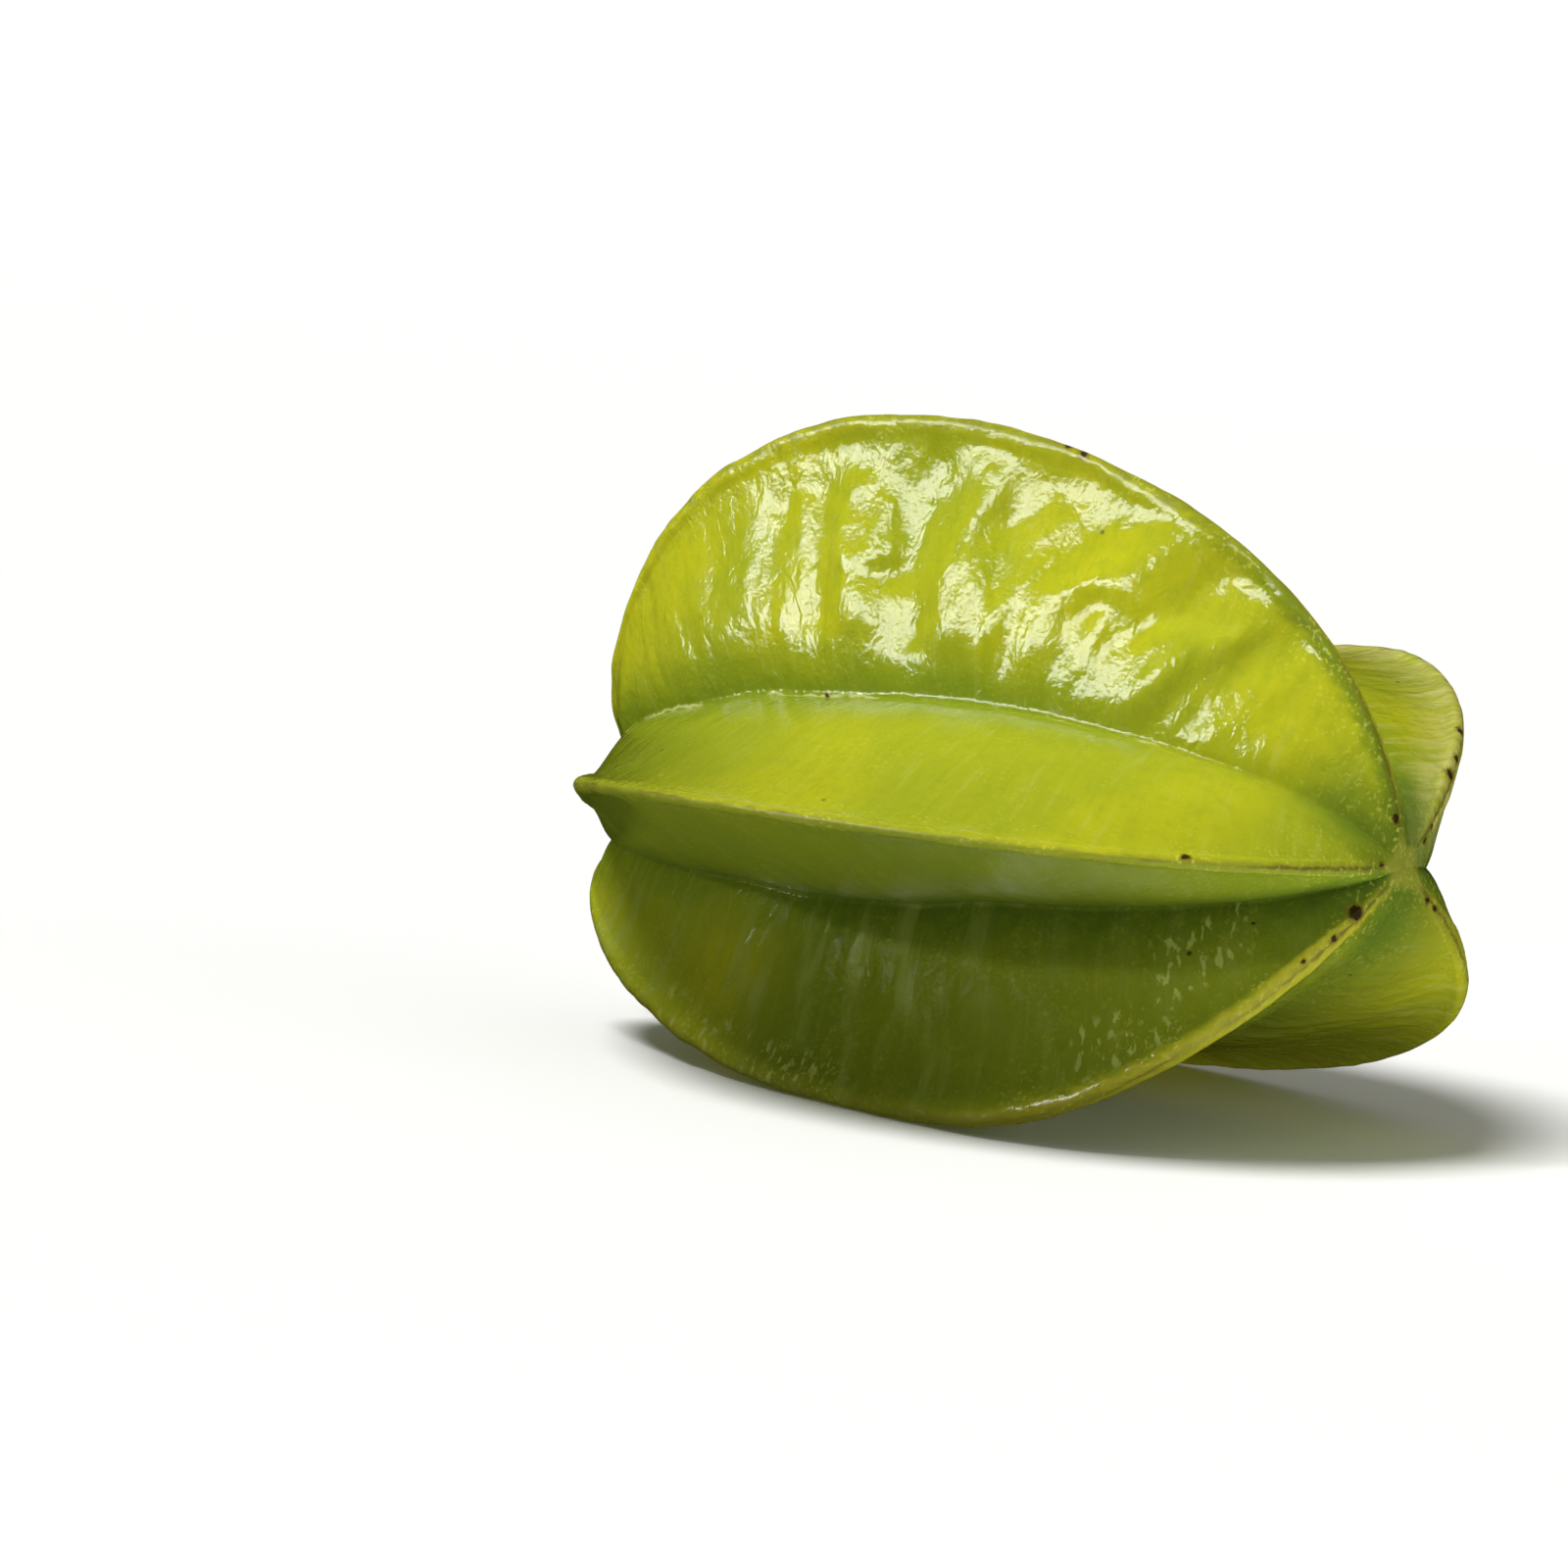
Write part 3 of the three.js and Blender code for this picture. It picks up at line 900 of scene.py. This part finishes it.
# %% Finish the skin material
GRAIN_DEPTH = 0.045 * MM
DIMPLE_DEPTH = 0.19 * MM
grain = add(
    tree, "TexNoise", {"Vector": stretched(tree, place_mm, (0.4, 0.4, 0.4)), "Scale": 1.0, "Detail": 2.0}
).outputs["Fac"]
dimples = add(
    tree,
    "TexNoise",
    {"Vector": stretched(tree, flank_place, (1.5, 2.6, 1)), "Scale": 1.0, "Detail": 1.5, "Distortion": 0.6},
).outputs["Fac"]
flatter_rib = product(tree, on_flanks(tree, 1, 2), 0.55)
dimpled = add(tree, "Math", {0: 1.0, 1: flatter_rib}, operation="SUBTRACT").outputs[0]
dimple_height = product(tree, dimples, dimpled)
dimple_bump = add(tree, "Bump", {"Height": dimple_height, "Strength": 1.0, "Distance": DIMPLE_DEPTH})
wax_bump = add(
    tree,
    "Bump",
    {"Height": grain, "Strength": 1.0, "Distance": GRAIN_DEPTH, "Normal": dimple_bump.outputs[0]},
)
rubbed_crest = ease(tree, crest_away, 3.2, 1.8, 0.11, 0.34)
skin_roughness = add(
    tree, "Math", {0: on_flanks(tree, 2, 2), 1: 0.12, 2: rubbed_crest}, operation="MULTIPLY_ADD"
).outputs[0]
skin_shader = add(
    tree,
    "BsdfPrincipled",
    {
        "Base Color": ground,
        "Roughness": skin_roughness,
        "IOR": 1.45,
        "Subsurface Weight": 0.35,
        "Subsurface Radius": (1.0, 0.9, 0.15),
        "Subsurface Scale": 0.004,
        "Normal": wax_bump.outputs[0],
    },
)
add(tree, "OutputMaterial", {"Surface": skin_shader.outputs[0]})
skin_mesh.materials.append(waxed_skin)
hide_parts("fruit")
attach(skin, "root")
print(len(tree.nodes), "nodes in the waxed skin")

# %% [markdown]
# ## The stub of the stem
#
# The stalk snaps off a few millimetres from the fruit and dries. It is a ribbed, slightly bent peg, wider
# at its broken end. It is turned as a lathe would turn it, ring by ring, and each ring is made uneven.

# %% Stem mesh
STEM_RINGS = 22
STEM_SIDES = 48
STEM_LENGTH = 7.0
STEM_RADIUS = 1.5
STEM_GAP = 0.6  # from the bottom of the pit
STEM_BEND = 0.25
peg = []
for ring in range(STEM_RINGS):
    share = ring / (STEM_RINGS - 1)
    turn = np.linspace(0, 2 * np.pi, STEM_SIDES, endpoint=False)
    flare = 0.86 + 0.14 * share**3 + 0.1 * (1 - share) ** 6
    radius = STEM_RADIUS * flare * (1 + 0.05 * np.sin(7 * turn + 2 * share) + 0.02 * np.sin(17 * turn))
    radius = radius + 0.05 * waver(turn * 3, share * 7, 0.8, 1.2, 7)
    bend = STEM_BEND * share**2
    back = np.full(STEM_SIDES, -share * STEM_LENGTH)
    peg.append(np.stack([back, radius * np.cos(turn), bend + radius * np.sin(turn)], -1))
peg = np.concatenate(peg)
peg[:, 0] += -HALF_LENGTH + PIT_DEPTH - STEM_GAP
caps = np.array([[peg[0, 0], 0, 0], [peg[-1, 0] + 0.35, 0, STEM_BEND]])
side = np.arange(STEM_SIDES)
side_next = (side + 1) % STEM_SIDES
faces = []
for ring in range(STEM_RINGS - 1):
    a, b = ring * STEM_SIDES, (ring + 1) * STEM_SIDES
    faces += np.stack([a + side, b + side, b + side_next, a + side_next], -1).tolist()
cap_start = STEM_RINGS * STEM_SIDES
far = (STEM_RINGS - 1) * STEM_SIDES
faces += np.stack([np.full(STEM_SIDES, cap_start), side, side_next], -1).tolist()
faces += np.stack([np.full(STEM_SIDES, cap_start + 1), far + side_next, far + side], -1).tolist()
stem_mesh = bpy.data.meshes.new("stem_stub")
stem_points = lay_down(np.concatenate([peg, caps]))
stem_points[:, 2] -= lowest
stem_mesh.from_pydata(stem_points.tolist(), [], faces)
stem_mesh.validate()
stem_mesh.polygons.foreach_set("use_smooth", [True] * len(stem_mesh.polygons))
stem = bpy.data.objects.new("stem_stub", stem_mesh)
bpy.context.scene.collection.objects.link(stem)
print("stem, mm:", [round(1000 * d, 1) for d in stem.dimensions])

# %% [markdown]
# Dry stalk: it has shrunk onto its fibres as it dried, which leaves it woody and ridged along its length.
# The ridges scatter the light, so it is matt, with no shine at all.

# %% Dry stalk material
dry_stalk = bpy.data.materials.new("dry_stalk")
dry_stalk.use_nodes = True
stalk = dry_stalk.node_tree
stalk.nodes.clear()
stalk_place = add(stalk, "TexCoord").outputs["Object"]
stalk_mm = add(stalk, "VectorMath", {0: stalk_place, "Scale": 1000.0}, operation="SCALE").outputs[0]
stalk_fibre = add(
    stalk,
    "TexNoise",
    {"Vector": stretched(stalk, stalk_mm, (3.0, 0.35, 0.35)), "Scale": 1.0, "Detail": 4.0},
).outputs["Fac"]
stalk_colour = tint(stalk, ease(stalk, stalk_fibre, 0.35, 0.65), paint("#4a3d1e"), paint("#86764a"))
stalk_bump = add(stalk, "Bump", {"Height": stalk_fibre, "Strength": 1.0, "Distance": 0.0002})
stalk_shader = add(
    stalk,
    "BsdfPrincipled",
    {"Base Color": stalk_colour, "Roughness": 0.85, "Normal": stalk_bump.outputs[0]},
)
add(stalk, "OutputMaterial", {"Surface": stalk_shader.outputs[0]})
stem_mesh.materials.append(dry_stalk)
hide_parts("stem")
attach(stem, "root")
print(len(stalk.nodes), "nodes in the dry stalk")

# %% [markdown]
# ## The studio
#
# The floor is a wide, pale, matt sweep: flat under the fruit, and rising very gently far away, so that it
# fills the view behind the fruit with no horizon line.

# %% Floor
FLAT_RADIUS = 1.0
SWEEP_RADIUS = 6.0
SWEEP_RISE = 0.05
SPOKES = 96
rings = np.concatenate([np.linspace(0.02, FLAT_RADIUS, 12), np.linspace(FLAT_RADIUS, SWEEP_RADIUS, 40)[1:]])
spokes = np.linspace(0, 2 * np.pi, SPOKES, endpoint=False)
rise = SWEEP_RISE * np.maximum(0, rings - FLAT_RADIUS) ** 2
floor_height = np.repeat(rise[:, None], SPOKES, 1)
floor_points = np.stack(
    [np.outer(rings, np.cos(spokes)), np.outer(rings, np.sin(spokes)), floor_height], -1
).reshape(-1, 3)
spoke = np.arange(SPOKES)
spoke_next = (spoke + 1) % SPOKES
floor_faces = [list(range(SPOKES))]
for ring in range(len(rings) - 1):
    a, b = ring * SPOKES, (ring + 1) * SPOKES
    floor_faces += np.stack([a + spoke, b + spoke, b + spoke_next, a + spoke_next], -1).tolist()
floor_mesh = bpy.data.meshes.new("studio_floor")
floor_mesh.from_pydata(floor_points.tolist(), [], floor_faces)
floor_mesh.polygons.foreach_set("use_smooth", [True] * len(floor_mesh.polygons))
floor = bpy.data.objects.new("studio_floor", floor_mesh)
bpy.context.scene.collection.objects.link(floor)
print(len(floor_faces), "faces in the floor")

# %% [markdown]
# Matt white board: card with flat white paint rolled on in a thin coat. It scatters light evenly, so it
# takes a soft shadow and shows no reflection of the fruit.

# %% Matt white board
pale_board = bpy.data.materials.new("matt_white_board")
pale_board.use_nodes = True
board = pale_board.node_tree.nodes["Principled BSDF"]
board.inputs["Base Color"].default_value = paint("#fbfbf9")
board.inputs["Roughness"].default_value = 0.9
board.inputs["Specular IOR Level"].default_value = 0.1
floor_mesh.materials.append(pale_board)
floor.visible_glossy = False
floor.visible_diffuse = False
floor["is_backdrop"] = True
print("floor:", pale_board.name)

# %% [markdown]
# ## The light
#
# A broad soft light from above, a little to the left, does most of the work, with a weaker one from the
# right. The table's own glow is two dim panels lying face up on it, and a small lamp with a narrow beam
# brightens the top rib. None of these shows in the wax: the only reflection is that of one long softbox,
# low in front and to the left, turned so that one end hangs lower.

# %% Lights


def look(azimuth, elevation):
    """A unit vector in that direction. Azimuth 0 is in front of the fruit, and positive is to its right."""
    a, e = math.radians(azimuth), math.radians(elevation)
    return Vector((math.sin(a) * math.cos(e), -math.cos(a) * math.cos(e), math.sin(e)))


def hang(lamp, place, back, roll=0.0):
    """Puts a lamp in the studio, with its back in the direction given."""
    holder = bpy.data.objects.new(lamp.name, lamp)
    holder.location = place
    holder.rotation_mode = "QUATERNION"
    holder.rotation_quaternion = back.to_track_quat("Z", "Y") @ Quaternion((0, 0, 1), math.radians(roll))
    bpy.context.scene.collection.objects.link(holder)
    return holder


def sun(name, azimuth, elevation, strength, spread):
    """A very distant lamp that looks spread degrees wide."""
    lamp = bpy.data.lights.new(name, "SUN")
    lamp.energy = strength
    lamp.angle = math.radians(spread)
    return hang(lamp, Vector((0, 0, 0)), look(azimuth, elevation))


def panel(name, place, back, size, brightness, roll=0.0, spread=180):
    """A flat lamp, as bright all over as the number given."""
    lamp = bpy.data.lights.new(name, "AREA")
    lamp.shape = "RECTANGLE"
    lamp.size, lamp.size_y = size
    lamp.energy = brightness * math.pi * size[0] * size[1]
    lamp.spread = math.radians(spread)
    return hang(lamp, place, back, roll)


overhead = sun("overhead_softbox", -25, 68, 2.8, 24)
right_fill = sun("right_fill", 95, 4, 0.9, 50)
face_up = Vector((0, 0, -1))  # with its back to the table
front_bounce = panel("front_bounce", Vector((-0.04, -0.13, 0.002)), face_up, (0.28, 0.16), 0.6)
side_bounce = panel("side_bounce", Vector((0.12, 0.02, 0.002)), face_up, (0.14, 0.18), 1.3)
fill_way = look(-20, 26)
top_fill_place = Vector((0.006, -0.016, 0.054)) + 0.5 * fill_way
top_fill = panel("top_face_fill", top_fill_place, fill_way, (0.18, 0.045), 0.5, spread=8)
fills = [overhead, right_fill, front_bounce, side_bounce, top_fill]
for lamp in fills:
    lamp.visible_glossy = False
    lamp.visible_camera = False
strip_way = look(-26, 14.5)
strip_place = 1.2 * strip_way + Vector((0, 0, 0.03))
front_softbox = panel("front_softbox", strip_place, strip_way, (1.12, 0.32), 11.5, roll=18)
front_softbox.visible_diffuse = False
front_softbox.visible_camera = False
print(len(fills), "fill lights and one softbox")

# %% [markdown]
# A black card stands low in front, out of the picture, and keeps the softbox out of the lower front rib,
# whose reflection would otherwise show again in the rib above it. The other lamps shine past it. It is
# covered in black felt, whose matted fibres trap nearly all the light that falls on them.

# %% Black card
card_mesh = bpy.data.meshes.new("black_card")
card_ends = [(-0.100, -0.050), (0.000, -0.095)]
card_points = [(x, y, z) for x, y in card_ends for z in (0.001, 0.036)]
card_mesh.from_pydata(card_points, [], [(0, 2, 3, 1)])
card = bpy.data.objects.new("black_card", card_mesh)
bpy.context.scene.collection.objects.link(card)
black_felt = bpy.data.materials.new("black_felt")
black_felt.use_nodes = True
felt = black_felt.node_tree.nodes["Principled BSDF"]
felt.inputs["Base Color"].default_value = paint("#050505")
felt.inputs["Roughness"].default_value = 1.0
felt.inputs["Specular IOR Level"].default_value = 0.0
card_mesh.materials.append(black_felt)
card.visible_camera = False
card.visible_diffuse = False
shine_past = bpy.data.collections.new("lamps_shine_past")
shine_past.objects.link(card)
shine_past.collection_objects[0].light_linking.link_state = "EXCLUDE"
for lamp in fills:
    lamp.light_linking.blocker_collection = shine_past
card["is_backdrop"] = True
print(len(fills), "lamps shine past the card")

# %% [markdown]
# The room beyond the lamps is a dim, even, nearly white grey. It fills the shadows a little and never shows
# in the wax.

# %% Dim surroundings
studio = bpy.data.worlds.new("dim_studio")
studio.use_nodes = True
room = studio.node_tree.nodes["Background"]
room.inputs["Color"].default_value = paint("#f4f4f2")
room.inputs["Strength"].default_value = 0.25
studio.cycles_visibility.glossy = False
bpy.context.scene.world = studio
bpy.context.scene.view_settings.view_transform = "Standard"
print("room brightness", room.inputs["Strength"].default_value)

# %% [markdown]
# ## The camera
#
# A long lens, low and a little to the blossom-tip side, so that two ribs face it and the tip shows at the
# right. It is turned rather than shifted to set the fruit off centre.

# %% Camera
camera = bpy.data.objects.new("camera", bpy.data.cameras.new("camera"))
bpy.context.scene.collection.objects.link(camera)
camera.data.lens = 147.5
camera.data.sensor_width = 36
camera.data.clip_start = 0.05
camera.data.clip_end = 30
camera.location = Vector((400.9, -492.2, 88.76)) * MM
aim = Vector((-16.12, -11.95, 28.38)) * MM
camera.rotation_mode = "QUATERNION"
level_view = (aim - camera.location).to_track_quat("-Z", "Y")
camera.rotation_quaternion = level_view @ Quaternion((0, 0, 1), math.radians(4.594))
bpy.context.scene.camera = camera
print("camera", round((aim - camera.location).length, 3), "m from what it looks at")

# %% [markdown]
# ## The size of the skin
#
# The skin should fill the same box as the CAD part. Its box is measured here and printed in mm.

# %% Measure the skin's box
low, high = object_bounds()
print("visual box, mm:", [round(1000 * (b - a), 1) for a, b in zip(low, high)])
